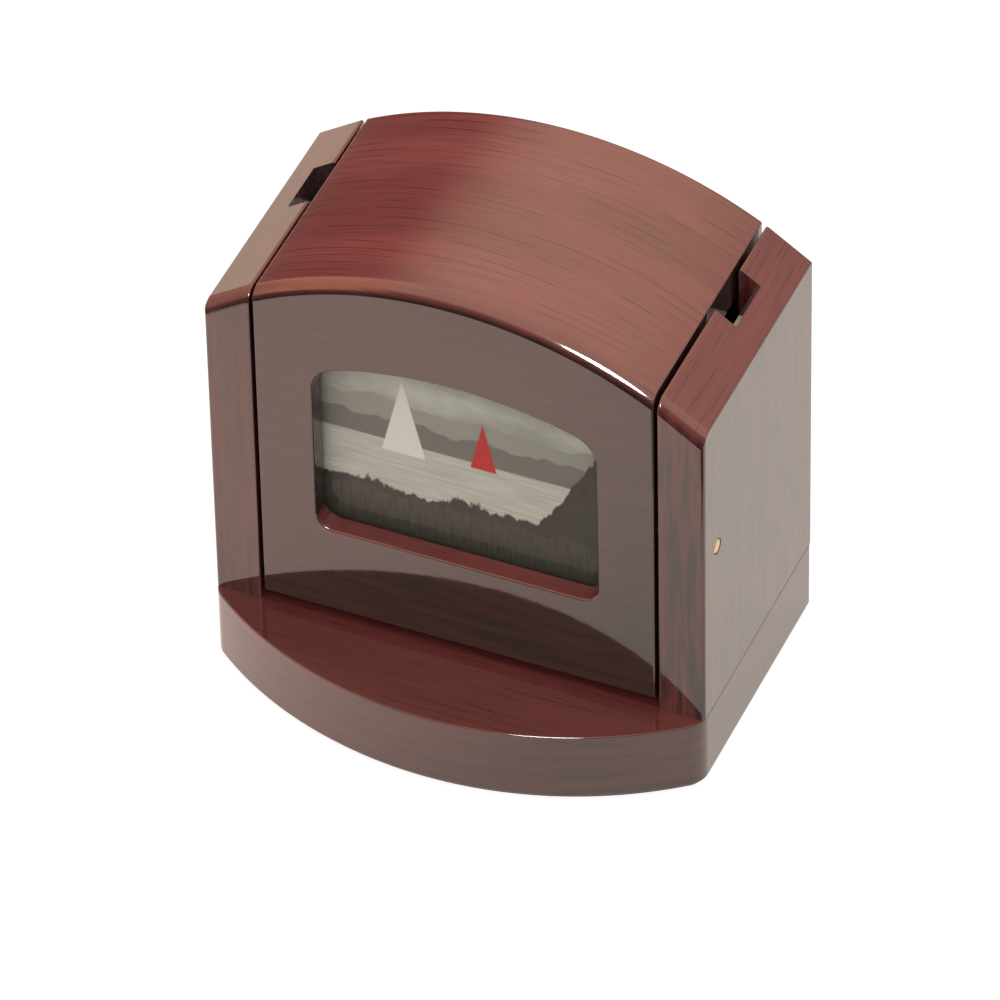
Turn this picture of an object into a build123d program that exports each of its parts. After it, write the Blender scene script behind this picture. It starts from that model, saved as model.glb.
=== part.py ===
# Business card box: a bow-front base, two side panels and a hood that tips forward on two pins.
# Millimetres, +Z up, front towards -Y. The origin is the middle of the footprint, on the surface
# that the box stands on. Depths are measured back from the front line of the side panels.
from build123d import *
from math import sqrt
import os

# Case: overall sizes
case_width = 140.0
case_depth = 75.0
side_height = 121.5
arch_radius = 115.0
side_thickness = 13.0
back_thickness = 8.0

# Base board
felt_thickness = 1.2
felt_inset = 0.8
base_top = 22.5
base_overhang = 0.4
base_front_step = 1.0
bow_depth = 26.5
base_corner_radius = 3.5
base_edge_radius = 1.2

# Hood
side_gap = 1.0
floor_gap = 3.3
front_thickness = 14.0
roof_thickness = 10.0
roof_rest_gap = 1.3

# Picture window in the front panel
window_stile = 16.0
window_sill = 54.0
window_crown_drop = 29.8
window_corner_radius = 5.0
window_lip = 5.5
glazing_rebate = 2.5
board_rebate = 8.0
lens_thickness = 2.0
print_thickness = 0.4
board_thickness = 6.0
glazing_clearance = 0.15

# Card pocket behind the front panel
pocket_depth = 21.0
cheek_thickness = 6.0
cheek_corner_radius = 6.0
shelf_thickness = 5.0
shelf_edge_radius = 2.0
shelf_housing = 1.5
liner_thickness = 1.0
liner_inset = 0.6

# Pivots
pivot_from_front = 9.0
pivot_below_notch = 36.4
pin_diameter = 4.0
pin_running_clearance = 0.05
pin_end_clearance = 0.3
pin_end_round = 0.4
pin_rim_diameter = 5.0
bush_wall = 1.0
bush_length = 5.6
bush_flange_diameter = 9.0
bush_flange_thickness = 0.7

# Stops for the open and the closed hood
peg_diameter = 5.0
peg_from_front = 50.0
peg_reach = 6.0
peg_depth = 8.0
peg_end_chamfer = 0.6
stop_clearance = 0.3
rest_pad_width = 10.0
rest_pad_depth = 6.0
rest_pad_offset = 34.0
rest_pad_thickness = 1.0

# Finger notches in the tops of the side panels, with a pad on the floor of each
notch_front = 38.8
notch_length = 17.0
notch_width = 6.2
notch_depth = 16.7
notch_edge_radius = 0.4
notch_pad_thickness = 1.0
notch_pad_inset = 0.2

# Screws and dowels
fit_clearance = 0.05
base_screw_length = 40.0
base_screw_diameter = 3.5
base_screw_head = 7.0
base_screw_end_distance = 15.0
base_screw_back_offset = 30.0
board_screw_length = 10.0
board_screw_diameter = 2.2
board_screw_head = 4.2
board_screw_low_rise = 8.0
board_screw_high_rise = 42.0
back_dowel_diameter = 4.0
back_dowel_length = 16.0
back_dowel_heights = (40.0, 95.0)
cheek_dowel_diameter = 3.0
cheek_dowel_length = 14.0
cheek_dowel_heights = (50.0, 98.0)

# Edge roundings
front_edge_radius = 3.0
outer_edge_radius = 0.8
gap_edge_radius = 0.5

# Places worked out from the sizes above
front_line = (bow_depth - case_depth - base_overhang) / 2
half_width = case_width / 2
arch_centre = side_height - sqrt(arch_radius**2 - half_width**2)
arch_crown = arch_centre + arch_radius
inner_half = half_width - side_thickness
hood_half = inner_half - side_gap
back_middle = front_line + case_depth - back_thickness / 2
notch_floor = arch_centre + sqrt(arch_radius**2 - inner_half**2) - notch_depth
pivot_y = front_line + pivot_from_front
pivot_height = notch_floor - pivot_below_notch
pocket_front = front_line + front_thickness
peg_y = front_line + peg_from_front
hood_bottom = base_top + floor_gap
cheek_inner = hood_half - cheek_thickness
window_half = hood_half - window_stile
cheek_middle = hood_half - cheek_thickness / 2
side_middle = half_width - side_thickness / 2
shelf_top = hood_bottom + shelf_thickness
shelf_half = cheek_inner + shelf_housing - fit_clearance
roof_inner_radius = arch_radius - roof_thickness
back_arch_radius = roof_inner_radius - roof_rest_gap
print_front = window_lip + lens_thickness
board_front = print_front + print_thickness
board_back = board_front + board_thickness
pin_radius = pin_diameter / 2
bush_bore_radius = pin_radius + pin_running_clearance
bush_radius = bush_bore_radius + bush_wall
peg_radius = peg_diameter / 2
peg_height = pivot_height + front_thickness + pocket_depth - pivot_from_front + stop_clearance + peg_radius
board_screw_x = window_half + (glazing_rebate + board_rebate) / 2
side_screw_depths = (base_screw_end_distance, case_depth - base_screw_end_distance)
side_screw_spots = [(side_middle, front_line + depth, felt_thickness) for depth in side_screw_depths]
back_screw_spots = [(side * base_screw_back_offset, back_middle, felt_thickness) for side in (-1, 1)]
left_screw_spots = [(-x, y, z) for x, y, z in side_screw_spots]
board_screw_spots = [Location((side * board_screw_x, front_line + board_back, window_sill + rise), (90, 0, 0))
                     for side in (-1, 1) for rise in (board_screw_low_rise, board_screw_high_rise)]


def upright_plane(depth):
    """A plane parallel to the front, a depth behind it: X is to the right, local Y is up."""
    return Plane(origin=(0, front_line + depth, 0), x_dir=(1, 0, 0), z_dir=(0, -1, 0))


def arched_outline(x_low, x_high, z_low, radius):
    """What lies between two X limits, above a height and under the arch of a radius."""
    with BuildSketch() as outline:
        with Locations((0, arch_centre)):
            Circle(radius)
        with Locations(((x_low + x_high) / 2, z_low)):
            Rectangle(x_high - x_low, 2 * radius, align=(Align.CENTER, Align.MIN), mode=Mode.INTERSECT)
    return outline.sketch


def window_outline(margin):
    """The window grown by a margin: straight sides, a flat sill and a crown parallel to the roof."""
    half = window_half + margin
    low = window_sill - margin
    crown_centre = arch_centre - window_crown_drop + margin
    shoulder = crown_centre + sqrt(arch_radius**2 - half**2)
    with BuildSketch() as outline:
        with BuildLine():
            Polyline((-half, shoulder), (-half, low), (half, low), (half, shoulder))
            ThreePointArc((half, shoulder), (0, crown_centre + arch_radius), (-half, shoulder))
        make_face()
        fillet(outline.vertices(), window_corner_radius + margin)
    return outline.sketch


def base_outline():
    """The plan of the base: square at the back, one arc bulging forward at the front."""
    half = half_width + base_overhang
    back = front_line + case_depth + base_overhang
    corner = front_line - base_front_step
    with BuildSketch() as outline:
        with BuildLine():
            Polyline((-half, corner), (-half, back), (half, back), (half, corner))
            ThreePointArc((half, corner), (0, front_line - bow_depth), (-half, corner))
        make_face()
        fillet(outline.vertices().group_by(Axis.Y)[0], base_corner_radius)
    return outline.sketch


def countersunk_screw(length, diameter, head, growth=0.0):
    """A flat-headed screw with its head at the origin and its tip towards +Z."""
    shank = diameter / 2 + growth
    rim = head / 2 + growth
    with BuildPart() as screw:
        with BuildSketch(Plane.XZ):
            with BuildLine():
                Polyline((0, 0), (rim, 0), (shank, rim - shank), (shank, length - diameter / 2),
                         (0, length + growth), close=True)
            make_face()
        revolve(axis=Axis.Z)
    return screw.part


# Base: a thick bow-front board, with holes for the screws that hold the case from beneath
with BuildPart() as base:
    with BuildSketch(Plane.XY.offset(felt_thickness)):
        add(base_outline())
    extrude(amount=base_top - felt_thickness)
    top_edges = base.faces().sort_by(Axis.Z)[-1].edges()
    fillet(top_edges, base_edge_radius)
    screw_hole = countersunk_screw(base_screw_length, base_screw_diameter, base_screw_head, fit_clearance)
    with Locations(*side_screw_spots, *left_screw_spots, *back_screw_spots):
        add(screw_hole, mode=Mode.SUBTRACT)
base.part.label = "base"

# Felt glued under the base, a little inside its edge
with BuildPart() as base_felt:
    with BuildSketch():
        add(base_outline())
        offset(amount=-felt_inset, mode=Mode.REPLACE)
    extrude(amount=felt_thickness)
base_felt.part.label = "base_felt"

# Side panels: arched tops, a rounded front, a finger notch, and bores for pin, peg and dowels
with BuildPart() as right_side_panel:
    with BuildSketch(upright_plane(0)):
        add(arched_outline(inner_half, half_width, base_top, arch_radius))
    extrude(amount=-case_depth)
    front_edges = right_side_panel.faces().sort_by(Axis.Y)[0].edges()
    fillet([front_edges.sort_by(Axis.Z)[-1], front_edges.sort_by(Axis.X)[-1]], front_edge_radius)
    fillet(right_side_panel.faces().sort_by(Axis.Y)[-1].edges().sort_by(Axis.Z)[-1], outer_edge_radius)
    long_edges = right_side_panel.edges().filter_by(Axis.Y).group_by(Axis.Z)
    fillet(long_edges[-1], gap_edge_radius)
    fillet(long_edges[-2], outer_edge_radius)
    with Locations((inner_half, front_line + notch_front, notch_floor)):
        Box(notch_width, notch_length, arch_crown, align=Align.MIN, mode=Mode.SUBTRACT)
    cut_edges = right_side_panel.edges(Select.LAST).filter_by_position(Axis.Z, notch_floor + 1, arch_crown)
    fillet(cut_edges.filter_by(Axis.Z, reverse=True), notch_edge_radius)
    with Locations((half_width, pivot_y, pivot_height)):
        Cylinder(pin_radius + fit_clearance, 2 * side_thickness, rotation=(0, 90, 0), mode=Mode.SUBTRACT)
        Cone(pin_radius, pin_rim_diameter / 2, pin_rim_diameter / 2 - pin_radius, rotation=(0, 90, 0),
             align=(Align.CENTER, Align.CENTER, Align.MAX), mode=Mode.SUBTRACT)
    with Locations((inner_half, peg_y, peg_height)):
        Cylinder(peg_radius + fit_clearance, 2 * (peg_depth + fit_clearance), rotation=(0, 90, 0),
                 mode=Mode.SUBTRACT)
    with Locations(*[(inner_half, back_middle, z) for z in back_dowel_heights]):
        Cylinder(back_dowel_diameter / 2 + fit_clearance, back_dowel_length + 2 * fit_clearance,
                 rotation=(0, 90, 0), mode=Mode.SUBTRACT)
    with Locations(*side_screw_spots):
        add(screw_hole, mode=Mode.SUBTRACT)
right_side_panel.part.label = "right_side_panel"

with BuildPart() as left_side_panel:
    mirror(right_side_panel.part, about=Plane.YZ)
left_side_panel.part.label = "left_side_panel"

# Back panel: stands between the side panels, and its arched top ends just under the roof
with BuildPart() as back_panel:
    with BuildSketch(upright_plane(case_depth - back_thickness)):
        add(arched_outline(-inner_half, inner_half, base_top, back_arch_radius))
    extrude(amount=-back_thickness)
    with Locations(*[(side * inner_half, back_middle, z) for side in (-1, 1) for z in back_dowel_heights]):
        Cylinder(back_dowel_diameter / 2 + fit_clearance, back_dowel_length + 2 * fit_clearance,
                 rotation=(0, 90, 0), mode=Mode.SUBTRACT)
    with Locations(*back_screw_spots):
        add(screw_hole, mode=Mode.SUBTRACT)
back_panel.part.label = "back_panel"

# Screws up through the base into the side panels and the back panel
with BuildPart() as base_screws:
    with Locations(*side_screw_spots, *left_screw_spots, *back_screw_spots):
        add(countersunk_screw(base_screw_length, base_screw_diameter, base_screw_head))
base_screws.part.label = "base_screws"

# Wooden dowels between the back panel and the side panels
with BuildPart() as back_dowels:
    with Locations(*[(side * inner_half, back_middle, z) for side in (-1, 1) for z in back_dowel_heights]):
        Cylinder(back_dowel_diameter / 2, back_dowel_length, rotation=(0, 90, 0))
back_dowels.part.label = "back_dowels"

# Pivot pins: brass rods pressed into the side panels, turning in the bushes of the hood
pin_inner_end = hood_half - bush_length + pin_end_clearance
with BuildPart() as right_pivot_pin:
    with Locations((pin_inner_end, pivot_y, pivot_height)):
        Cylinder(pin_radius, half_width - pin_inner_end, rotation=(0, 90, 0),
                 align=(Align.CENTER, Align.CENTER, Align.MIN))
    fillet(right_pivot_pin.edges().group_by(Axis.X)[-1], pin_end_round)
right_pivot_pin.part.label = "right_pivot_pin"

with BuildPart() as left_pivot_pin:
    mirror(right_pivot_pin.part, about=Plane.YZ)
left_pivot_pin.part.label = "left_pivot_pin"

# Stop pegs: turned dowels in the side panels that the cheeks meet when the hood is open
with BuildPart() as stop_pegs:
    with Locations((inner_half - peg_reach, peg_y, peg_height)):
        Cylinder(peg_radius, peg_reach + peg_depth, rotation=(0, 90, 0),
                 align=(Align.CENTER, Align.CENTER, Align.MIN))
    chamfer(stop_pegs.edges().group_by(Axis.X)[0], peg_end_chamfer)
    mirror(about=Plane.YZ)
stop_pegs.part.label = "stop_pegs"

# Pale pads glued to the floors of the finger notches
with BuildPart() as notch_pads:
    with Locations((inner_half + notch_pad_inset, front_line + notch_front + notch_pad_inset, notch_floor)):
        Box(notch_width - 2 * notch_pad_inset, notch_length - 2 * notch_pad_inset, notch_pad_thickness,
            align=Align.MIN)
    mirror(about=Plane.YZ)
notch_pads.part.label = "notch_pads"

# Felt pads on the arch of the back panel, under the closed roof
with BuildPart() as rest_pads:
    with BuildSketch(upright_plane(case_depth - (back_thickness + rest_pad_depth) / 2)):
        with Locations((0, arch_centre)):
            Circle(back_arch_radius + rest_pad_thickness)
            Circle(back_arch_radius, mode=Mode.SUBTRACT)
        with Locations(*[(side * rest_pad_offset, arch_centre) for side in (-1, 1)]):
            Rectangle(rest_pad_width, 2 * arch_radius, align=(Align.CENTER, Align.MIN), mode=Mode.INTERSECT)
    extrude(amount=-rest_pad_depth)
rest_pads.part.label = "rest_pads"

# Front panel of the hood: arched, with the picture window, its rebates and the bush bores
bush_ends = [(side * hood_half, pivot_y, pivot_height) for side in (-1, 1)]
cheek_dowel_spots = [(side * cheek_middle, pocket_front, z) for side in (-1, 1) for z in cheek_dowel_heights]
with BuildPart() as front_panel:
    with BuildSketch(upright_plane(0)):
        add(arched_outline(-hood_half, hood_half, hood_bottom, arch_radius))
    extrude(amount=-front_thickness)
    fillet(front_panel.faces().sort_by(Axis.Y)[0].edges().sort_by(Axis.Z)[-1], front_edge_radius)
    fillet(front_panel.edges().filter_by(Axis.Y).group_by(Axis.Z)[-1], gap_edge_radius)
    with BuildSketch(upright_plane(0)):
        add(window_outline(0))
    extrude(amount=-front_thickness, mode=Mode.SUBTRACT)
    fillet(front_panel.faces().sort_by(Axis.Y)[0].inner_wires()[0].edges(), gap_edge_radius)
    with BuildSketch(upright_plane(window_lip)):
        add(window_outline(glazing_rebate))
    extrude(amount=-front_thickness, mode=Mode.SUBTRACT)
    with BuildSketch(upright_plane(board_front)):
        add(window_outline(board_rebate))
    extrude(amount=-front_thickness, mode=Mode.SUBTRACT)
    with Locations(*bush_ends):
        Cylinder(bush_radius + fit_clearance, 2 * (bush_length + fit_clearance), rotation=(0, 90, 0),
                 mode=Mode.SUBTRACT)
    with Locations(*cheek_dowel_spots):
        Cylinder(cheek_dowel_diameter / 2 + fit_clearance, cheek_dowel_length + 2 * fit_clearance,
                 rotation=(90, 0, 0), mode=Mode.SUBTRACT)
    board_screw_hole = countersunk_screw(board_screw_length, board_screw_diameter, board_screw_head,
                                         fit_clearance)
    with Locations(*board_screw_spots):
        add(board_screw_hole, mode=Mode.SUBTRACT)
front_panel.part.label = "front_panel"

# Roof: a curved board from the front panel back over the case
with BuildPart() as hood_top:
    with BuildSketch(upright_plane(front_thickness)):
        add(arched_outline(-hood_half, hood_half, arch_centre, arch_radius))
        with Locations((0, arch_centre)):
            Circle(roof_inner_radius, mode=Mode.SUBTRACT)
    extrude(amount=front_thickness - case_depth)
    fillet(hood_top.faces().sort_by(Axis.Y)[-1].edges().sort_by(Axis.Z)[-1], outer_edge_radius)
    fillet(hood_top.edges().filter_by(Axis.Y).group_by(Axis.Z)[-1], gap_edge_radius)
hood_top.part.label = "hood_top"

# Cheeks: the side walls of the card pocket, housed for the shelf and rounded at the back
with BuildPart() as right_cheek:
    with BuildSketch(upright_plane(front_thickness)):
        add(arched_outline(cheek_inner, hood_half, hood_bottom, roof_inner_radius))
    extrude(amount=-pocket_depth)
    back_edges = right_cheek.faces().sort_by(Axis.Y)[-1].edges()
    fillet(back_edges.sort_by(Axis.Z)[0], cheek_corner_radius)
    with Locations((cheek_inner, pocket_front, hood_bottom)):
        Box(shelf_housing, pocket_depth, shelf_thickness + fit_clearance, align=Align.MIN, mode=Mode.SUBTRACT)
    with Locations(*[(cheek_middle, pocket_front, z) for z in cheek_dowel_heights]):
        Cylinder(cheek_dowel_diameter / 2 + fit_clearance, cheek_dowel_length + 2 * fit_clearance,
                 rotation=(90, 0, 0), mode=Mode.SUBTRACT)
right_cheek.part.label = "right_cheek"

with BuildPart() as left_cheek:
    mirror(right_cheek.part, about=Plane.YZ)
left_cheek.part.label = "left_cheek"

# Shelf under the cards, housed in the cheeks, and the felt on it
with BuildPart() as card_shelf:
    with Locations((0, pocket_front, hood_bottom)):
        Box(2 * shelf_half, pocket_depth, shelf_thickness, align=(Align.CENTER, Align.MIN, Align.MIN))
    fillet(card_shelf.faces().sort_by(Axis.Y)[-1].edges().sort_by(Axis.Z)[0], shelf_edge_radius)
card_shelf.part.label = "card_shelf"

with BuildPart() as card_liner:
    with Locations((0, pocket_front + liner_inset, shelf_top)):
        Box(2 * (cheek_inner - liner_inset), pocket_depth - 2 * liner_inset, liner_thickness,
            align=(Align.CENTER, Align.MIN, Align.MIN))
card_liner.part.label = "card_liner"

# Dowels between the cheeks and the front panel
with BuildPart() as cheek_dowels:
    with Locations(*cheek_dowel_spots):
        Cylinder(cheek_dowel_diameter / 2, cheek_dowel_length, rotation=(90, 0, 0))
cheek_dowels.part.label = "cheek_dowels"

# Window glazing from front to back: clear lens, printed card, backing board
with BuildPart() as lens:
    with BuildSketch(upright_plane(window_lip)):
        add(window_outline(glazing_rebate - glazing_clearance))
    extrude(amount=-lens_thickness)
lens.part.label = "lens"

with BuildPart() as picture_print:
    with BuildSketch(upright_plane(print_front)):
        add(window_outline(glazing_rebate - glazing_clearance))
    extrude(amount=-print_thickness)
picture_print.part.label = "picture_print"

with BuildPart() as backing_board:
    with BuildSketch(upright_plane(board_front)):
        add(window_outline(board_rebate - glazing_clearance))
    extrude(amount=-board_thickness)
    with Locations(*board_screw_spots):
        add(board_screw_hole, mode=Mode.SUBTRACT)
backing_board.part.label = "backing_board"

# Countersunk screws that hold the backing board in its rebate
with BuildPart() as board_screws:
    with Locations(*board_screw_spots):
        add(countersunk_screw(board_screw_length, board_screw_diameter, board_screw_head))
board_screws.part.label = "board_screws"

# Flanged bushes in the edges of the front panel, whose flanges centre the hood in its gaps
with BuildPart() as right_pivot_bush:
    with Locations((hood_half, pivot_y, pivot_height)):
        Cylinder(bush_radius, bush_length, rotation=(0, 90, 0), align=(Align.CENTER, Align.CENTER, Align.MAX))
        Cylinder(bush_flange_diameter / 2, bush_flange_thickness, rotation=(0, 90, 0),
                 align=(Align.CENTER, Align.CENTER, Align.MIN))
        Cylinder(bush_bore_radius, 3 * bush_length, rotation=(0, 90, 0), mode=Mode.SUBTRACT)
right_pivot_bush.part.label = "right_pivot_bush"

with BuildPart() as left_pivot_bush:
    mirror(right_pivot_bush.part, about=Plane.YZ)
left_pivot_bush.part.label = "left_pivot_bush"

# One STEP file for each piece
os.makedirs("parts", exist_ok=True)
for piece in (base, base_felt, right_side_panel, left_side_panel, back_panel, base_screws, back_dowels,
              right_pivot_pin, left_pivot_pin, stop_pegs, notch_pads, rest_pads, front_panel, hood_top,
              right_cheek, left_cheek, card_shelf, card_liner, cheek_dowels, lens, picture_print, backing_board,
              board_screws, right_pivot_bush, left_pivot_bush):
    export_step(piece.part, f"parts/{piece.part.label}.step")
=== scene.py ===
import bpy
import bmesh
import math
import numpy as np
from mathutils import Matrix, Vector


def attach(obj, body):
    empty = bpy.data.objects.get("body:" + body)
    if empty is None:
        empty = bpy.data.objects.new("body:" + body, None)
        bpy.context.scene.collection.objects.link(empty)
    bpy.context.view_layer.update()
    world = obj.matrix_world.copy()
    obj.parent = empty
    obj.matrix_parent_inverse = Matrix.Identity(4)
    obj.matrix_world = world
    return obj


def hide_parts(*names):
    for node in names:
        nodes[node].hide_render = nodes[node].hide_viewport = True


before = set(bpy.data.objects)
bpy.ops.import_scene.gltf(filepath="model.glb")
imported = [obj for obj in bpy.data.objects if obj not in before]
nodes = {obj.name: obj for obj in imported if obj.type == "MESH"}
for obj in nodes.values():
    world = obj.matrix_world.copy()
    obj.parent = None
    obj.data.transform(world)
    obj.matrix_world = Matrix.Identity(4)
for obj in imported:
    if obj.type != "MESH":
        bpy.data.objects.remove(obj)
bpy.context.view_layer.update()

# Base: one thick board with a bowed front, veneered and lacquered. Its edges are lightly rounded
# and its front corners turned to a radius. The case stands on it almost flush at sides and back.
front_line, case_depth, half_width = -0.02445, 0.075, 0.070
base_half = half_width + 0.00005
base_back = front_line + case_depth + 0.0002
base_corner_line = front_line - 0.001
base_bow_tip = front_line - 0.0265
base_low, base_top = 0.0012, 0.0225
base_corner_round, base_back_round = 0.007, 0.0016
base_foot_round, base_top_round, base_rim_round = 0.0006, 0.0001, 0.0004


def arc_points(centre_x, centre_v, radius, first, last, count):
    """Points of an arc: centre plus radius times (cosine, sine) of evenly spaced angles, in degrees."""
    angle = np.radians(np.linspace(first, last, count))
    return np.stack([centre_x + radius * np.cos(angle), centre_v + radius * np.sin(angle)], 1)


def edge_inset(depth, radius):
    """How far a rounded edge stands in at a depth below its face: the radius less the height of a
    quarter circle there."""
    return radius - math.sqrt(radius**2 - min(max(radius - depth, 0.0), radius) ** 2)


def edge_levels(radius, count):
    """Depths below a face at which a rounded edge gets a row, at even turns of its quarter circle."""
    return radius * (1 - np.sin(np.linspace(0, math.pi / 2, count)))


def sorted_levels(*groups):
    """The levels of several edges in rising order, each of them once."""
    return np.unique(np.round(np.concatenate(groups), 9))


def base_plan(inset, front_inset):
    """Plan of the base, drawn in by an inset, and by another in front: straight back and sides, and one
    front arc through the corners and the tip of the bow, joined by corner arcs that touch both lines."""
    half = base_half - inset
    back = base_back - inset
    sag = base_corner_line - base_bow_tip
    bow_radius = (base_half**2 + sag**2) / (2 * sag)
    bow_centre = base_bow_tip + bow_radius
    front_round = base_corner_round - front_inset
    back_round = base_back_round - inset
    bow = bow_radius - front_inset
    corner_x = half - front_round
    corner_y = bow_centre - math.sqrt((bow - front_round) ** 2 - corner_x**2)
    turn = math.degrees(math.atan2(bow_centre - corner_y, corner_x))
    return np.concatenate([
        arc_points(half - back_round, back - back_round, back_round, 90, 0, 7),
        arc_points(corner_x, corner_y, front_round, 0, -turn, 11),
        arc_points(0, bow_centre, bow, -turn, turn - 180, 141)[1:-1],
        arc_points(-corner_x, corner_y, front_round, turn - 180, -180, 11),
        arc_points(-half + back_round, back - back_round, back_round, 180, 90, 7)])


def base_board_at(z):
    """Plan of the base at a height: drawn in at its foot and a little at its top."""
    foot = edge_inset(z - base_low, base_foot_round)
    below = base_top - z
    return base_plan(foot + edge_inset(below, base_top_round), foot + edge_inset(below, base_rim_round))


def add_object(name, data):
    """A new object with this data, put into the scene."""
    made = bpy.data.objects.new(name, data)
    bpy.context.scene.collection.objects.link(made)
    return made


def closed_solid(name, rings):
    """A closed solid from a stack of loops: neighbouring loops are joined by one quad per point, and
    the first and last loops are closed by one flat face each."""
    rows, cols = rings.shape[:2]
    index = np.arange(rows * cols).reshape(rows, cols)
    ahead = np.roll(index, -1, axis=1)
    quads = np.stack([index[:-1], ahead[:-1], ahead[1:], index[1:]], -1).reshape(-1, 4)
    mesh = bpy.data.meshes.new(name)
    mesh.from_pydata(rings.reshape(-1, 3), [], quads.tolist() + [index[0].tolist(), index[-1].tolist()])
    shell = bmesh.new()
    shell.from_mesh(mesh)
    bmesh.ops.remove_doubles(shell, verts=shell.verts, dist=1e-7)
    bmesh.ops.recalc_face_normals(shell, faces=shell.faces)
    shell.to_mesh(mesh)
    shell.free()
    return add_object(name, mesh)


def along_z(name, levels, plan_at):
    """A solid whose plan at each height is a loop of (x, y) points."""
    return closed_solid(name, np.stack([np.insert(plan_at(z), 2, z, axis=1) for z in levels]))


def along_y(name, levels, outline_at):
    """A solid whose outline at each depth is a loop of (x, z) points."""
    return closed_solid(name, np.stack([np.insert(outline_at(y), 1, y, axis=1) for y in levels]))


def bake(piece):
    """Takes what a piece's modifiers make of it into its mesh, and clears them."""
    baked = bpy.data.meshes.new_from_object(piece.evaluated_get(bpy.context.evaluated_depsgraph_get()))
    piece.modifiers.clear()
    piece.data = baked


def finish_mesh(piece, bevel=0.0):
    """Rounds the sharp edges by a bevel where one is given, and shades the piece smooth. At each face
    corner the normal is the sum, weighted by area, of the faces round it that turn from its own by
    less than 40 degrees, so that flats stay flat and sharp edges stay sharp."""
    bevel_angle, smooth_angle = math.radians(35), math.radians(40)
    if bevel:
        edge = piece.modifiers.new("edges", "BEVEL")
        edge.width, edge.segments, edge.limit_method = bevel, 3, "ANGLE"
        edge.angle_limit = bevel_angle
        bake(piece)
    mesh = piece.data
    faces = len(mesh.polygons)
    facing, area, sides = np.empty(faces * 3), np.empty(faces), np.empty(faces, int)
    mesh.polygons.foreach_get("normal", facing)
    mesh.polygons.foreach_get("area", area)
    mesh.polygons.foreach_get("loop_total", sides)
    facing = facing.reshape(-1, 3)
    point = np.empty(len(mesh.loops), int)
    mesh.loops.foreach_get("vertex_index", point)
    face = np.repeat(np.arange(faces), sides)
    shared = np.bincount(point)[point]
    first = (np.cumsum(np.bincount(point)) - np.bincount(point))[point]
    corner = np.repeat(np.arange(len(point)), shared)
    turn = np.arange(len(corner)) - np.repeat(np.cumsum(shared) - shared, shared)
    beside = face[np.argsort(point, kind="stable")[np.repeat(first, shared) + turn]]
    near = (facing[face[corner]] * facing[beside]).sum(1) > math.cos(smooth_angle)
    total = np.zeros((len(point), 3))
    np.add.at(total, corner, facing[beside] * (area[beside] * near)[:, None])
    total /= np.linalg.norm(total, axis=1, keepdims=True)
    mesh.polygons.foreach_set("use_smooth", np.ones(faces, bool))
    mesh.normals_split_custom_set(total.tolist())
    return piece


def dress(piece, body, replaced, material):
    """Sets a new piece on the body that it rides on, gives it its finish, and hides the nodes that it stands
    for.
    """
    piece.data.materials.clear()
    piece.data.materials.append(material)
    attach(piece, body)
    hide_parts(*replaced)


def feed(tree, node, feeds):
    """Sets a shader node's inputs to values, or joins them to other nodes' outputs."""
    for key, value in feeds.items():
        if isinstance(value, bpy.types.NodeSocket):
            tree.links.new(value, node.inputs[key])
        else:
            node.inputs[key].default_value = value


def add_node(tree, kind, feeds=None, **settings):
    """One shader node with its settings and inputs."""
    made = tree.nodes.new(kind)
    for key, value in settings.items():
        setattr(made, key, value)
    feed(tree, made, feeds or {})
    return made


def place_in(tree, kind="Object"):
    """The place of a shaded point, or the way of a ray into the sky, as a vector."""
    return add_node(tree, "ShaderNodeTexCoord").outputs[kind]


def split(tree, vector):
    """The three numbers of a vector."""
    return add_node(tree, "ShaderNodeSeparateXYZ", {0: vector}).outputs


def join(tree, x, y=0.0, z=0.0):
    """A vector from three numbers."""
    return add_node(tree, "ShaderNodeCombineXYZ", {0: x, 1: y, 2: z}).outputs[0]


def calc(tree, operation, first, second=0.0, third=0.0):
    """The result of one arithmetic step on values or sockets."""
    return add_node(tree, "ShaderNodeMath", {0: first, 1: second, 2: third}, operation=operation).outputs[0]


def product(tree, first, *factors):
    """The product of values or sockets."""
    for factor in factors:
        first = calc(tree, "MULTIPLY", first, factor)
    return first


def inverse(tree, share):
    """1 less a share."""
    return calc(tree, "SUBTRACT", 1.0, share)


def soft_step(tree, value, low, high):
    """0 below low, 1 above high, and a smooth rise between."""
    return add_node(tree, "ShaderNodeMapRange", {"Value": value, "From Min": low, "From Max": high},
                    interpolation_type="SMOOTHSTEP").outputs[0]


def blend_colours(tree, share, first, second):
    """One colour that turns into another by a share from 0 to 1."""
    return add_node(tree, "ShaderNodeMix", {0: share, 6: first, 7: second}, data_type="RGBA").outputs[2]


def blend_values(tree, share, first, second):
    """One value that turns into another by a share from 0 to 1."""
    return add_node(tree, "ShaderNodeMix", {0: share, 2: first, 3: second}, data_type="FLOAT").outputs[0]


def paint_over(tree, colour, *layers):
    """A colour with others laid over it in turn, each by its own share."""
    for share, over in layers:
        colour = blend_colours(tree, share, colour, over)
    return colour


def noise(tree, vector, scale=1.0, detail=2.0, roughness=0.5):
    """Smooth random values from 0 to 1 over a vector."""
    return add_node(tree, "ShaderNodeTexNoise", {"Vector": vector, "Scale": scale, "Detail": detail,
                                                  "Roughness": roughness}).outputs[0]


def bump(tree, strength, distance, height):
    """Normals tilted by a fine relief."""
    return add_node(tree, "ShaderNodeBump", {"Strength": strength, "Distance": distance,
                                              "Height": height}).outputs[0]


def new_material(name):
    """An empty node material with a Principled surface, as (material, tree, surface)."""
    material = bpy.data.materials.new(name)
    material.use_nodes = True
    tree = material.node_tree
    return material, tree, tree.nodes["Principled BSDF"]


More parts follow.
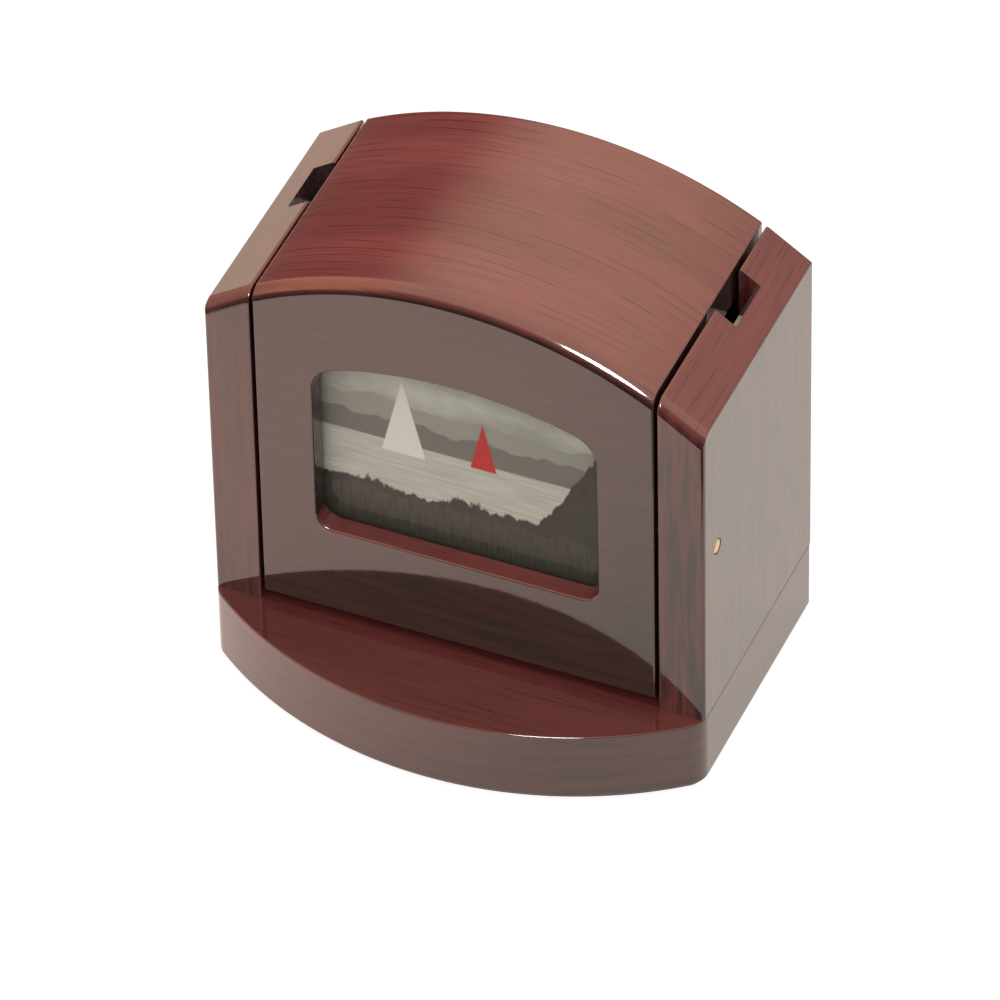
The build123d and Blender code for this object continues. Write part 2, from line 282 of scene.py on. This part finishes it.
def rosewood(name, seed, upright, level, upright_shade, streaks):
    """Dark red-brown veneer under clear gloss lacquer. The grain runs along X, or up the piece where it is
    upright; each face reads its own two directions, as veneer does. Long noise gives the tone, short
    noise the fibres, and a warped comb of thin broken lines the dark grain. The level scales the
    colours, lower on pieces that take less light, as painted shade. A share of painted shade darkens the
    upright faces, which take less light, and the streaks make that shade uneven, like random tone."""
    material, tree, surface = new_material(name)
    place = place_in(tree)
    at = split(tree, place)
    facing = split(tree, place_in(tree, "Normal"))
    tilt = calc(tree, "ABSOLUTE", facing[2])
    rise = blend_values(tree, calc(tree, "GREATER_THAN", tilt, 0.62), at[2], at[1])
    if upright:
        is_side = calc(tree, "GREATER_THAN", calc(tree, "ABSOLUTE", facing[0]), 0.75)
        length, across = rise, blend_values(tree, is_side, at[0], at[1])
    else:
        length, across = at[0], rise

    def shade(red, green, blue):
        """A wood colour at this piece's level, which is lower on pieces that take less light, as painted
        shade.
        """
        return red * level, green * level, blue * level, 1

    def grain(per_length, per_across, shift, detail=2.0):
        """Noise over the veneer's own coordinates, scaled along and across the grain."""
        along = product(tree, length, per_length)
        return noise(tree, join(tree, along, product(tree, across, per_across), seed + shift), detail=detail)

    tone = grain(9, 70, 0.0, 3.0)
    cloud = grain(30, 45, 3.1)
    fibre = grain(45, 1500, 7.3)
    drift = grain(10, 45, 11.9)
    comb = calc(tree, "FRACT", calc(tree, "ADD", product(tree, across, 330.0), product(tree, drift, 2.6)))
    off_line = calc(tree, "ABSOLUTE", calc(tree, "SUBTRACT", comb, 0.5))
    broken = soft_step(tree, grain(42, 160, 17.7, 1.0), 0.47, 0.6)
    line = product(tree, inverse(tree, soft_step(tree, off_line, 0.02, 0.075)), broken)
    pores = soft_step(tree, grain(75, 2300, 23.5, 1.0), 0.66, 0.74)
    is_upright = inverse(tree, soft_step(tree, tilt, 0.15, 0.6))
    streak = soft_step(tree, grain(38, 420, 31.0, 4.0), 0.34, 0.66)
    # Painted shade: upright faces darkened towards a near-black brown, unevenly in streaks of random tone.
    upright_shade_share = calc(tree, "MULTIPLY_ADD", streak, streaks, upright_shade - streaks / 2)
    wood = paint_over(
        tree, shade(0.132, 0.033, 0.033),
        (soft_step(tree, tone, 0.3, 0.7), shade(0.172, 0.045, 0.044)),
        (product(tree, soft_step(tree, cloud, 0.45, 0.75), 0.25), shade(0.235, 0.055, 0.05)),
        (product(tree, soft_step(tree, fibre, 0.35, 0.75), 0.3), shade(0.08, 0.015, 0.018)),
        (product(tree, pores, 0.4), (0.02, 0.006, 0.006, 1)),
        (product(tree, line, 0.4 if upright else 0.6), (0.014, 0.006, 0.007, 1)),
        (product(tree, is_upright, upright_shade_share), (0.02, 0.013, 0.012, 1)))
    feed(tree, surface, {
        "Base Color": wood, "Roughness": 0.3, "IOR": 1.5, "Specular IOR Level": 0.06,
        "Coat Weight": 1.0, "Coat Roughness": 0.06, "Coat IOR": 1.75,
        "Coat Normal": bump(tree, 0.05, 0.0002, noise(tree, place, 260.0, 1.0))})
    return material


# The base takes less light than the hood: its lower level and its upright share are painted shade.
flat_rosewood = rosewood("rosewood base", 1.7, False, 0.68, 0.3, 0.5)
base_levels = sorted_levels(
    base_low + edge_levels(base_foot_round, 5), base_top - edge_levels(base_top_round, 4),
    base_top - edge_levels(base_rim_round, 8))
base_board = finish_mesh(along_z("base_board", base_levels, base_board_at))
dress(base_board, "case", ["base"], flat_rosewood)

# Felt: a thin sheet glued under the base, cut smaller than it so that only a dark line shows. The
# pads that the closed roof rests on and the liner of the card pocket are of the same felt.
felt_inset = 0.0013


def felt(name, colour, light):
    """Short-piled felt: a mottled colour, a fuzzy bump and a soft sheen."""
    material, tree, surface = new_material(name)
    place = place_in(tree)
    pile = noise(tree, place, 2600.0, 3.0, 0.7)
    patch = noise(tree, place, 160.0, 3.0)
    share = calc(tree, "MULTIPLY_ADD", pile, 0.6, product(tree, patch, 0.4))
    feed(tree, surface, {
        "Base Color": blend_colours(tree, share, colour, light), "Roughness": 1.0,
        "Specular IOR Level": 0.1, "Sheen Weight": 0.25, "Normal": bump(tree, 0.5, 0.0002, pile)})
    return material


def repaint(material, *names):
    """Gives CAD nodes a finished material in place of their plain one."""
    for name in names:
        nodes[name].data.materials.clear()
        nodes[name].data.materials.append(material)


dark_felt = felt("dark felt", (0.012, 0.014, 0.013, 1), (0.035, 0.04, 0.037, 1))
base_sheet = along_z("base_sheet", (0.0, base_low), lambda z: base_plan(felt_inset, felt_inset))
dress(finish_mesh(base_sheet), "case", ["base_felt"], dark_felt)
repaint(dark_felt, "rest_pads", "card_liner")

# Side panels: upright boards on the base, sloped on top to carry on the line of the hood. The
# front edges are rounded, and each has a finger notch at the top and a pin through it.
side_inner = half_width - 0.013
arch_radius = 0.115
arch_centre = 0.1215 - math.sqrt(arch_radius**2 - half_width**2)
case_back = front_line + case_depth
brow_round, upright_round, outer_round, gap_round = 0.0038, 0.001, 0.0008, 0.0005
foot_round, least_round = 0.00015, 0.00005
notch_floor = arch_centre + math.sqrt(arch_radius**2 - side_inner**2) - 0.0167
notch_front, notch_back = front_line + 0.0388, front_line + 0.0558
notch_width, notch_top = 0.0062, 0.16
pivot_y, pivot_z = front_line + 0.009, notch_floor - 0.0364
bore_radius, bore_mouth, mouth_depth = 0.00205, 0.0025, 0.0005
past = 0.001


def arched_loop(left, right, low, radius, round_left, round_right):
    """Outline with upright sides, a level foot and an arched top, or its chord where the piece is off to
    one side: the sides meet the arch in corner arcs that touch both, and the foot in small ones."""
    right_x, left_x = right - round_right, left + round_left
    right_z = arch_centre + math.sqrt((radius - round_right) ** 2 - right_x**2)
    left_z = arch_centre + math.sqrt((radius - round_left) ** 2 - left_x**2)
    right_turn = math.degrees(math.atan2(right_z - arch_centre, right_x))
    left_turn = math.degrees(math.atan2(left_z - arch_centre, left_x))
    crown = arc_points(0, arch_centre, radius, right_turn, left_turn, 74)
    if left > 0:
        crown = np.linspace(crown[0], crown[-1], 12)
    return np.concatenate([
        arc_points(right - foot_round, low + foot_round, foot_round, -90, 0, 4),
        arc_points(right_x, right_z, round_right, 0, right_turn, 6), crown[1:-1],
        arc_points(left_x, left_z, round_left, left_turn, 180, 6),
        arc_points(left + foot_round, low + foot_round, foot_round, 180, 270, 4)])


def side_panel_at(y):
    """Outline of the right side panel at a depth: drawn in by its rounded front and back edges."""
    ahead, behind = y - front_line, case_back - y
    small = edge_inset(ahead, gap_round) + edge_inset(behind, gap_round)
    drawn = edge_inset(ahead, brow_round) + edge_inset(behind, outer_round)
    outer = edge_inset(ahead, upright_round) + small * (ahead > brow_round)
    return arched_loop(side_inner + small, half_width - outer, base_top, arch_radius - drawn,
                       max(gap_round - small, least_round), max(outer_round - drawn, least_round))


def box_cutter(low, high):
    """A block between two corners, for cutting."""
    x, z = np.array([low[0], high[0], high[0], low[0]]), np.array([low[2], low[2], high[2], high[2]])
    return along_y("cutter", (low[1], high[1]), lambda y: np.stack([x, z], 1))


def round_cutter(y, z, radii, stations):
    """A round bore along X whose radius is given at each station."""
    turn = np.linspace(0, 2 * math.pi, 49)[:-1]
    rings = [np.stack([np.full(48, x), y + radius * np.cos(turn), z + radius * np.sin(turn)], 1)
             for radius, x in zip(radii, stations)]
    return closed_solid("cutter", np.stack(rings))


def cut_away(piece, *cutters):
    """Takes the cutters out of a piece, bakes the result into its mesh and removes the cutters."""
    for cutter in cutters:
        step = piece.modifiers.new("cut", "BOOLEAN")
        step.object, step.solver, step.operation = cutter, "EXACT", "DIFFERENCE"
    bake(piece)
    for cutter in cutters:
        bpy.data.objects.remove(cutter)


def mirrored(piece, name):
    """The same piece reflected left to right, with its faces turned to point outwards again."""
    mesh = piece.data.copy()
    mesh.transform(Matrix.Scale(-1, 4, (1, 0, 0)))
    mesh.flip_normals()
    return add_object(name, mesh)


side_levels = sorted_levels(front_line + edge_levels(brow_round, 14), front_line + edge_levels(gap_round, 5),
                            case_back - edge_levels(outer_round, 6), case_back - edge_levels(gap_round, 5))
right_side = along_y("right_side", side_levels, side_panel_at)
notch = box_cutter((side_inner - past, notch_front, notch_floor),
                   (side_inner + notch_width, notch_back, notch_top))
pin_bore = round_cutter(pivot_y, pivot_z, (bore_radius, bore_radius, bore_mouth, bore_mouth),
                        (side_inner - past, half_width - mouth_depth, half_width, half_width + past))
cut_away(right_side, notch, pin_bore)
left_side = mirrored(right_side, "left_side")
# The side panels' lower level and upright share are painted shade as well.
right_rosewood = rosewood("rosewood right side", 4.3, True, 0.85, 0.62, 1.0)
left_rosewood = rosewood("rosewood left side", 5.6, True, 0.85, 0.6, 0.5)
side_bevel = 0.0003
dress(finish_mesh(right_side, side_bevel), "case", ["right_side_panel"], right_rosewood)
dress(finish_mesh(left_side, side_bevel), "case", ["left_side_panel"], left_rosewood)

# Pads in the finger notches: pale felt glued to the floor of each, seen in the right one as a
# light patch.
pale_felt = felt("pale felt", (0.62, 0.62, 0.64, 1), (0.8, 0.8, 0.82, 1))
repaint(pale_felt, "notch_pads")

# Back panel and stop pegs: a plain board between the side panels, veneered and lacquered like
# the rest, and turned pegs inside that stop the open hood.
back_rosewood = rosewood("rosewood back", 8.9, False, 0.9, 0.4, 0.3)
repaint(back_rosewood, "back_panel", "stop_pegs")

# Pivot pins and bushes: brass rods pressed into the side panels, whose ends show as small
# bright discs, and flanged bushes of darker bronze in the hood. Both have fine turning marks.


def turned_metal(name, bright, dull):
    """Lightly polished metal: rings of fine turning marks round the pivot's axis and a faint tarnish."""
    material, tree, surface = new_material(name)
    place = place_in(tree)
    at = split(tree, place)
    over = calc(tree, "POWER", calc(tree, "SUBTRACT", at[1], pivot_y), 2.0)
    up = calc(tree, "POWER", calc(tree, "SUBTRACT", at[2], pivot_z), 2.0)
    ring = calc(tree, "SQRT", calc(tree, "ADD", over, up))
    marks = noise(tree, join(tree, product(tree, ring, 9000.0)))
    tarnish = noise(tree, place, 900.0)
    feed(tree, surface, {
        "Base Color": blend_colours(tree, tarnish, bright, dull), "Metallic": 1.0, "Roughness": 0.28,
        "Normal": bump(tree, 0.25, 0.00005, marks)})
    return material


pin_brass = turned_metal("turned brass", (0.9, 0.72, 0.4, 1), (0.62, 0.44, 0.2, 1))
bush_bronze = turned_metal("dark bronze", (0.1, 0.06, 0.035, 1), (0.04, 0.025, 0.018, 1))
repaint(pin_brass, "right_pivot_pin", "left_pivot_pin")
repaint(bush_bronze, "right_pivot_bush", "left_pivot_bush")

# Screws, dowels and backing board: steel countersunk screws and beech dowels hold the boards
# together, out of sight while the box is shut. The bare board behind the window is beech too.


def plain_steel(name):
    """Bright steel with a fine drawn finish."""
    material, tree, surface = new_material(name)
    drawn = noise(tree, place_in(tree), 1800.0)
    feed(tree, surface, {
        "Base Color": blend_colours(tree, drawn, (0.42, 0.42, 0.43, 1), (0.66, 0.66, 0.67, 1)),
        "Metallic": 1.0, "Roughness": calc(tree, "MULTIPLY_ADD", drawn, 0.2, 0.22)})
    return material


def beech(name):
    """Bare pale wood: a long grain and small darker flecks."""
    material, tree, surface = new_material(name)
    stretch = {"Vector": place_in(tree), "Scale": (12.0, 300.0, 300.0)}
    stretched = add_node(tree, "ShaderNodeMapping", stretch).outputs[0]
    grain = noise(tree, stretched, 1.0, 4.0)
    flecks = soft_step(tree, noise(tree, stretched, 4.0, 1.0), 0.62, 0.7)
    wood = paint_over(tree, (0.36, 0.22, 0.11, 1), (grain, (0.6, 0.42, 0.25, 1)),
                      (product(tree, flecks, 0.4), (0.2, 0.11, 0.05, 1)))
    feed(tree, surface, {"Base Color": wood, "Roughness": 0.6, "Normal": bump(tree, 0.2, 0.0001, grain)})
    return material


repaint(plain_steel("plain steel"), "base_screws", "board_screws")
repaint(beech("beech"), "back_dowels", "cheek_dowels", "backing_board")

# Front panel of the hood: a thick board under the arch, with the rounded window cut through it.
# Its top edge is rounded into the roof, and rebates behind hold the lens, print and board.
hood_half = side_inner - 0.001
hood_low = base_top + 0.0033
front_back = front_line + 0.014
window_half, window_sill, crown_drop = hood_half - 0.016, 0.054, 0.0298
window_round, brow_corner_round, rim_round = 0.005, 0.009, 0.0006
lens_seat, board_seat = front_line + 0.0055, front_line + 0.0079
lens_rebate, board_rebate = 0.0025, 0.008
opening_front, opening_back = front_line + 0.0005, front_line + 0.006


def front_panel_at(y):
    """Outline of the front panel at a depth: drawn in by its rounded front edges."""
    ahead = y - front_line
    small = edge_inset(ahead, gap_round)
    corner = max(gap_round - small, least_round)
    return arched_loop(-hood_half + small, hood_half - small, hood_low + small,
                       arch_radius - edge_inset(ahead, brow_round), corner, corner)


def window_loop(margin, crown_round=window_round):
    """Outline of the window grown by a margin: level sill, upright sides and a crown parallel to the
    roof, joined by corner arcs, which can be wider at the crown."""
    half, low = window_half + margin, window_sill - margin
    crown_centre = arch_centre - crown_drop + margin
    sill_round, crown_round = window_round + margin, crown_round + margin
    sill_x, crown_x = half - sill_round, half - crown_round
    z = crown_centre + math.sqrt((arch_radius - crown_round) ** 2 - crown_x**2)
    turn = math.degrees(math.atan2(z - crown_centre, crown_x))
    return np.concatenate([
        arc_points(sill_x, low + sill_round, sill_round, -90, 0, 15),
        arc_points(crown_x, z, crown_round, 0, turn, 12),
        arc_points(0, crown_centre, arch_radius, turn, 180 - turn, 55)[1:-1],
        arc_points(-crown_x, z, crown_round, 180 - turn, 180, 12),
        arc_points(-sill_x, low + sill_round, sill_round, 180, 270, 15)])


def window_rim_at(y):
    """Outline of the window's rounded rim at a depth."""
    return window_loop(edge_inset(y - front_line, rim_round), brow_corner_round)


front_levels = sorted_levels(front_line + edge_levels(brow_round, 14), front_line + edge_levels(gap_round, 5),
                             [front_back])
hood_front = along_y("hood_front", front_levels, front_panel_at)
rim_levels = np.concatenate([[front_line - past], front_line + edge_levels(rim_round, 7)[::-1]])
openings = [
    (rim_levels, window_rim_at),
    ((opening_front, opening_back), lambda y: window_loop(0.0, brow_corner_round)),
    ((lens_seat, front_back + past), lambda y: window_loop(lens_rebate)),
    ((board_seat, front_back + past), lambda y: window_loop(board_rebate))]
for opening_levels, opening_at in openings:
    cut_away(hood_front, along_y("cutter", opening_levels, opening_at))
# Strong painted shade on the hood's upright front faces, which take little light.
hood_rosewood = rosewood("rosewood hood", 12.2, False, 1.0, 0.9, 0.2)
dress(finish_mesh(hood_front), "hood", ["front_panel"], hood_rosewood)

# Roof of the hood: a curved board from the front panel back over the case, with the same veneer
# as the panel. Its long edges and its back edge are eased.
roof_inner = arch_radius - 0.010
under_round = 0.0002


def roof_at(y):
    """Section of the roof at a depth: an outer and an inner arch about one centre, joined by upright ends
    with eased corners."""
    tail = edge_inset(case_back - y, outer_round)
    drawn = min(tail, gap_round)
    half, outer, inner = hood_half - drawn, arch_radius - tail, roof_inner + drawn
    ease = max(gap_round - tail, least_round)
    top_x, low_x = half - ease, half - under_round
    top_z = arch_centre + math.sqrt((outer - ease) ** 2 - top_x**2)
    low_z = arch_centre + math.sqrt((inner + under_round) ** 2 - low_x**2)
    top_turn = math.degrees(math.atan2(top_z - arch_centre, top_x))
    low_turn = math.degrees(math.atan2(low_z - arch_centre, low_x))
    return np.concatenate([
        arc_points(low_x, low_z, under_round, low_turn - 180, 0, 5),
        arc_points(top_x, top_z, ease, 0, top_turn, 6),
        arc_points(0, arch_centre, outer, top_turn, 180 - top_turn, 74)[1:-1],
        arc_points(-top_x, top_z, ease, 180 - top_turn, 180, 6),
        arc_points(-low_x, low_z, under_round, 180, 360 - low_turn, 5),
        arc_points(0, arch_centre, inner, 180 - low_turn, low_turn, 74)[1:-1]])


roof_levels = sorted_levels([front_back], case_back - edge_levels(outer_round, 7))
hood_roof = finish_mesh(along_y("hood_roof", roof_levels, roof_at))
dress(hood_roof, "hood", ["hood_top"], hood_rosewood)

# Card pocket: two cheeks and a shelf behind the front panel, that the cards stand in. They are
# lacquered like the outside.
repaint(hood_rosewood, "right_cheek", "left_cheek", "card_shelf")

# Lens: a clear pane in the window's rebate. It lets light through to the print and mirrors a
# little more at flat angles.


def emptied(owner):
    """The node tree of a material or world, switched on and cleared."""
    owner.use_nodes = True
    owner.node_tree.nodes.clear()
    return owner.node_tree


def show_mix(tree, share, first, second, output="ShaderNodeOutputMaterial"):
    """Ends a node tree in two shaders mixed by a share."""
    mixed = add_node(tree, "ShaderNodeMixShader", {0: share, 1: first.outputs[0], 2: second.outputs[0]})
    add_node(tree, output, {0: mixed.outputs[0]})


clear_lens = bpy.data.materials.new("clear lens")
lens_tree = emptied(clear_lens)
lens_gloss = add_node(lens_tree, "ShaderNodeBsdfGlossy", {"Color": (1, 1, 1, 1), "Roughness": 0.02})
lens_clear = add_node(lens_tree, "ShaderNodeBsdfTransparent", {"Color": (0.97, 0.98, 0.97, 1)})
lens_outside = inverse(lens_tree, add_node(lens_tree, "ShaderNodeNewGeometry").outputs["Backfacing"])
lens_mirror = add_node(lens_tree, "ShaderNodeFresnel", {"IOR": 1.22}).outputs[0]
show_mix(lens_tree, product(lens_tree, lens_mirror, lens_outside), lens_clear, lens_gloss)
pane_levels = (lens_seat, front_line + 0.0057, front_line + 0.0072, front_line + 0.00745)
pane_margins = (0.00215, 0.00235, 0.00235, 0.00215)
pane = along_y("pane", pane_levels, lambda y: window_loop(np.interp(y, pane_levels, pane_margins)))
dress(finish_mesh(pane), "hood", ["lens"], clear_lens)

# Print: a card behind the lens with a generic landscape in grey-brown tones: clouds, hills, a
# lake with a pale sail and a red one, trees and reeds.
picture_half_width, picture_height = 0.042, 0.0615
print_card, ink, print_surface = new_material("printed card")
print_at = split(ink, place_in(ink))
across = calc(ink, "DIVIDE", print_at[0], picture_half_width)
height = calc(ink, "DIVIDE", calc(ink, "SUBTRACT", print_at[2], window_sill), picture_height)


def below(line, softness=0.01):
    """1 below a line, 0 above it."""
    return soft_step(ink, calc(ink, "SUBTRACT", line, height), 0.0, softness)


def speckle(per_width, per_height, shift, detail, roughness=0.5):
    """Noise over the picture's own coordinates."""
    spot = join(ink, product(ink, across, per_width), product(ink, height, per_height), shift)
    return noise(ink, spot, 1.0, detail, roughness)


def ridge(level, swing, per_width, shift, detail):
    """1 below a wavy skyline, 0 above it: the skyline is a level plus noise along the width."""
    waves = noise(ink, join(ink, product(ink, across, per_width), shift), 1.0, detail, 0.6)
    return below(calc(ink, "MULTIPLY_ADD", waves, swing, level - swing / 2), 0.012)


def sail(middle, foot, top, spread):
    """1 inside a triangle that narrows evenly from its foot to its top."""
    reach = product(ink, calc(ink, "SUBTRACT", top, height), spread)
    away = calc(ink, "ABSOLUTE", calc(ink, "SUBTRACT", across, middle))
    inside = soft_step(ink, calc(ink, "SUBTRACT", reach, away), 0.0, 0.01)
    return product(ink, inside, soft_step(ink, height, foot, foot + 0.01))


clouds = soft_step(ink, speckle(1.6, 4.0, 2.0, 5.0, 0.55), 0.35, 0.7)
ripples = speckle(3.0, 60.0, 4.0, 3.0)
water = blend_colours(ink, ripples, (0.42, 0.43, 0.41, 1), (0.86, 0.87, 0.83, 1))
leaves = speckle(9.0, 9.0, 6.0, 4.0, 0.7)
foliage = blend_colours(ink, leaves, (0.004, 0.004, 0.004, 1), (0.06, 0.06, 0.05, 1))
tree_tops = calc(ink, "MULTIPLY_ADD", speckle(4.0, 2.0, 8.0, 5.0, 0.65), 0.3, 0.1)
tree_tops = calc(ink, "ADD", tree_tops, product(ink, soft_step(ink, across, 0.45, 1.0), 0.55))
reeds = speckle(60.0, 9.0, 1.0, 3.0)
reed_tone = blend_colours(ink, reeds, (0.006, 0.006, 0.006, 1), (0.09, 0.088, 0.075, 1))
picture = paint_over(
    ink, (0.42, 0.43, 0.41, 1),
    (clouds, (0.72, 0.74, 0.71, 1)),
    (ridge(0.72, 0.3, 1.3, 5.0, 3.0), (0.38, 0.385, 0.365, 1)),
    (ridge(0.62, 0.2, 2.2, 9.0, 4.0), (0.2, 0.2, 0.19, 1)),
    (below(0.5), water),
    (sail(-0.42, 0.43, 0.86, 0.36), (0.95, 0.95, 0.92, 1)),
    (sail(0.12, 0.46, 0.74, 0.34), (0.62, 0.02, 0.02, 1)),
    (below(tree_tops, 0.02), foliage),
    (ridge(0.2, 0.16, 5.0, 13.0, 5.0), reed_tone))
feed(ink, print_surface, {"Base Color": picture, "Roughness": 0.55})
repaint(print_card, "picture_print")

# Floor and lights: a pale sweep that ends a little way in front of the box, which the camera
# sees as white, like the sky. The lacquer mirrors another floor and sky than those that light
# the wood, and it alone shows the one small lamp in front.
camera_turn = math.radians(23.784)
right = Vector((math.cos(camera_turn), math.sin(camera_turn), 0))
nearer = Vector((math.sin(camera_turn), -math.cos(camera_turn), 0))
sweep_front, sweep_end = 0.15, 6
sweep_spots = ((sweep_front, -sweep_end), (sweep_front, sweep_end),
               (-sweep_end, sweep_end), (-sweep_end, -sweep_end))
sweep_corners = [nearer * out + right * along for out, along in sweep_spots]
floor_mesh = bpy.data.meshes.new("floor")
floor_mesh.from_pydata(sweep_corners, [], [(0, 1, 2, 3)])
floor = add_object("floor", floor_mesh)
floor_paper = bpy.data.materials.new("floor paper")
floor_mesh.materials.append(floor_paper)
paper = emptied(floor_paper)
floor_rays = add_node(paper, "ShaderNodeLightPath").outputs
floor_seen = calc(paper, "MAXIMUM", floor_rays["Is Camera Ray"], floor_rays["Is Transmission Ray"])
floor_mirrored = calc(paper, "MAXIMUM", floor_seen, floor_rays["Is Glossy Ray"])
floor_tone = blend_colours(paper, floor_mirrored, (0.06, 0.06, 0.06, 1), (0.9, 0.9, 0.9, 1))
# Painted light: mirrored in the lacquer the floor glows, warmest in a pool just in front of the box and
# dimmer far off; the camera sees it evenly white.
from_painted_light_pool = add_node(paper, "ShaderNodeVectorMath", {0: place_in(paper), 1: (-0.09, -0.14, 0)},
                          operation="DISTANCE").outputs["Value"]
floor_glow = paint_over(
    paper, (1.72, 1.18, 1.04, 1),
    (soft_step(paper, from_painted_light_pool, 0.05, 0.17), (0.92, 0.85, 0.77, 1)),
    (soft_step(paper, from_painted_light_pool, 0.5, 1.5), (0.79, 0.79, 0.59, 1)),
    (floor_seen, (1.1, 1.1, 1.1, 1)))
floor_dull = add_node(paper, "ShaderNodeBsdfDiffuse", {"Color": floor_tone})
floor_white = add_node(paper, "ShaderNodeEmission", {"Color": floor_glow, "Strength": 1.0})
show_mix(paper, product(paper, floor_mirrored, 0.8), floor_dull, floor_white)

world = bpy.data.worlds.new("studio")
bpy.context.scene.world = world
sky = emptied(world)
to_right, to_back, to_top = split(sky, place_in(sky, "Generated"))
to_left = calc(sky, "SUBTRACT", 0.0, to_right)
overhead = soft_step(sky, to_top, 0.45, 0.69)
near_horizon = inverse(sky, soft_step(sky, to_top, 0.03, 0.075))
horizon = product(sky, near_horizon, soft_step(sky, to_back, -0.5, -0.1))
right_wall = product(sky, soft_step(sky, to_right, 0.2, 0.45), soft_step(sky, to_back, -0.3, 0.1))
before_board = inverse(sky, soft_step(sky, to_back, 0.45, 0.62))
left_board = product(sky, soft_step(sky, to_left, 0.42, 0.62), before_board, soft_step(sky, to_top, 0.0, 0.2))
board_tone = blend_colours(sky, soft_step(sky, to_left, 0.8, 0.9), (1.55, 0.8, 0.45, 1), (0.75, 0.5, 0.36, 1))
mirrored_light = paint_over(
    sky, (0.07, 0.055, 0.05, 1),
    (horizon, (0.8, 0.78, 0.54, 1)),
    (right_wall, (0.56, 0.48, 0.4, 1)),
    (overhead, (1.08, 0.98, 0.69, 1)),
    (left_board, board_tone))
screen_tilt = calc(sky, "MULTIPLY_ADD", soft_step(sky, to_back, -0.45, 0.3), 0.4, 0.6)
screen = product(sky, soft_step(sky, to_top, 0.4, 0.8), screen_tilt)
front_side = inverse(sky, soft_step(sky, to_back, -0.75, -0.2))
front_fill = product(sky, front_side, soft_step(sky, to_top, 0.0, 0.15))
soft_light = paint_over(
    sky, (0.06, 0.055, 0.05, 1),
    (front_fill, (1.2, 1.12, 1.04, 1)),
    (screen, (2.85, 2.4, 2.1, 1)))
sky_rays = add_node(sky, "ShaderNodeLightPath").outputs
sky_tone = blend_colours(sky, sky_rays["Is Glossy Ray"], soft_light, mirrored_light)
sky_light = add_node(sky, "ShaderNodeBackground", {"Color": sky_tone, "Strength": 1.0})
sky_white = add_node(sky, "ShaderNodeBackground", {"Color": (1, 1, 1, 1), "Strength": 1.0})
show_mix(sky, sky_rays["Is Camera Ray"], sky_light, sky_white, "ShaderNodeOutputWorld")

lamp_aim, lamp_way, lamp_distance = Vector((0, 0, 0.12)), Vector((0.21, -0.82, 0.53)), 1.3
lamp_disc = bpy.data.lights.new("front_lamp", "AREA")
lamp_disc.shape, lamp_disc.size, lamp_disc.size_y = "ELLIPSE", 0.39, 0.46
lamp_disc.energy = 17
front_lamp = add_object("front_lamp", lamp_disc)
front_lamp.location = lamp_aim + lamp_way.normalized() * lamp_distance
front_lamp.rotation_euler = lamp_way.to_track_quat("Z", "Y").to_euler()
front_lamp.visible_diffuse = False

# Camera: above and to the right of the front, far back with a long lens, and turned a little
# about its own axis as in the photograph.
camera_rise, camera_roll, camera_distance = math.radians(41.981), math.radians(-1.241), 2.5838
forward = Vector((-math.sin(camera_turn) * math.cos(camera_rise),
                  math.cos(camera_turn) * math.cos(camera_rise), -math.sin(camera_rise)))
above = right.cross(forward)
middle = Vector((0, 0.01305, 0.06075))
eye = middle - forward * camera_distance
aim_right, aim_above = -0.003418, -0.011318
aim = middle + right * aim_right + above * aim_above
camera = add_object("camera", bpy.data.cameras.new("camera"))
camera.data.lens = 352.8
camera.data.sensor_width = 36
camera.data.clip_end = 50
sight = (aim - eye).normalized()
level = sight.cross(Vector((0, 0, 1))).normalized()
turned = level * math.cos(camera_roll) + level.cross(sight) * math.sin(camera_roll)
axes = Matrix((turned, turned.cross(sight), -sight)).transposed()
camera.matrix_world = Matrix.Translation(eye) @ axes.to_4x4()
bpy.context.scene.camera = camera
bpy.context.scene.view_settings.view_transform = "Standard"
